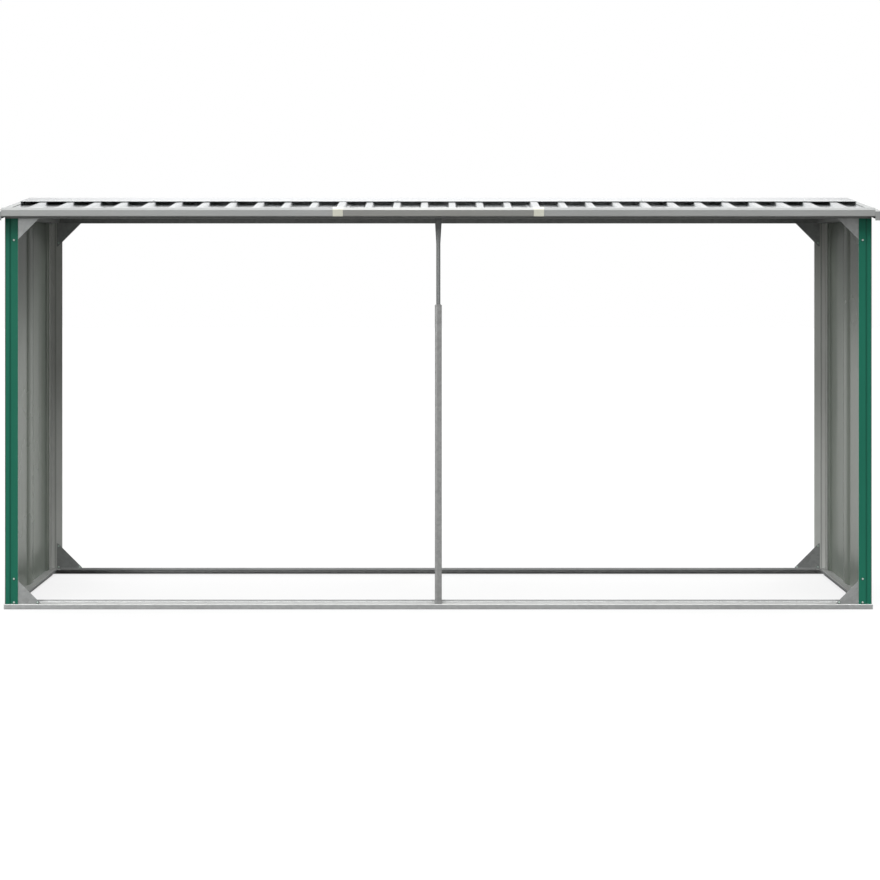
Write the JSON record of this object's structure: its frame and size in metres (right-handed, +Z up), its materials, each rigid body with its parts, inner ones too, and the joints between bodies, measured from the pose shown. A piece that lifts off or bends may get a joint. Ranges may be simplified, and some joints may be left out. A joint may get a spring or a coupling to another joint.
{
  "type": "log store",
  "caption": "Long low open-fronted log store of folded sheet steel, with ribbed end walls, green corner posts, middle supports and a shallow ribbed two-sided roof.",
  "frame": {"origin": "on the ground, under the middle of the store", "axes": "+X along the length to the right, +Y from the open front to the open back, +Z up"},
  "size_m": [3.3, 0.9246, 1.5547],
  "materials": {
    "roof_steel": "bright zinc-coated sheet, semi-matt",
    "trim_steel": "pale grey coated sheet",
    "frame_steel": "zinc-coated sheet with faint spangle",
    "green_paint": "dark green coated sheet, satin",
    "wall_paint": "dark green coated sheet outside, bare grey back coat inside",
    "cover_plastic": "cream moulded plastic"
  },
  "bodies": {
    "root": {"base_rail_front": "frame_steel", "base_rail_left": "frame_steel", "base_rail_rear": "frame_steel", "base_rail_right": "frame_steel", "corner_post_front_left": "green_paint", "corner_post_front_right": "green_paint", "corner_post_rear_left": "green_paint", "corner_post_rear_right": "green_paint", "eave_trim_front_centre": "trim_steel", "eave_trim_front_left": "trim_steel", "eave_trim_front_right": "trim_steel", "eave_trim_rear_centre": "trim_steel", "eave_trim_rear_left": "trim_steel", "eave_trim_rear_right": "trim_steel", "gable_plate_left": "wall_paint", "gable_plate_right": "wall_paint", "joint_covers_front": "cover_plastic", "joint_covers_rear": "cover_plastic", "lower_gussets_front": "frame_steel", "lower_gussets_rear": "frame_steel", "middle_sleeve_front": "frame_steel", "middle_sleeve_rear": "frame_steel", "middle_strut_front": "frame_steel", "middle_strut_rear": "frame_steel", "ridge_beam": "frame_steel", "ridge_cap": "roof_steel", "roof_sheet_front_centre": "roof_steel", "roof_sheet_front_left": "roof_steel", "roof_sheet_front_right": "roof_steel", "roof_sheet_rear_centre": "roof_steel", "roof_sheet_rear_left": "roof_steel", "roof_sheet_rear_right": "roof_steel", "top_beam_front": "frame_steel", "top_beam_left": "frame_steel", "top_beam_rear": "frame_steel", "top_beam_right": "frame_steel", "upper_gussets_front": "frame_steel", "upper_gussets_rear": "frame_steel", "verge_trim_left": "trim_steel", "verge_trim_right": "trim_steel", "wall_sheet_left_front": "wall_paint", "wall_sheet_left_rear": "wall_paint", "wall_sheet_right_front": "wall_paint", "wall_sheet_right_rear": "wall_paint"}
  },
  "joints": []
}
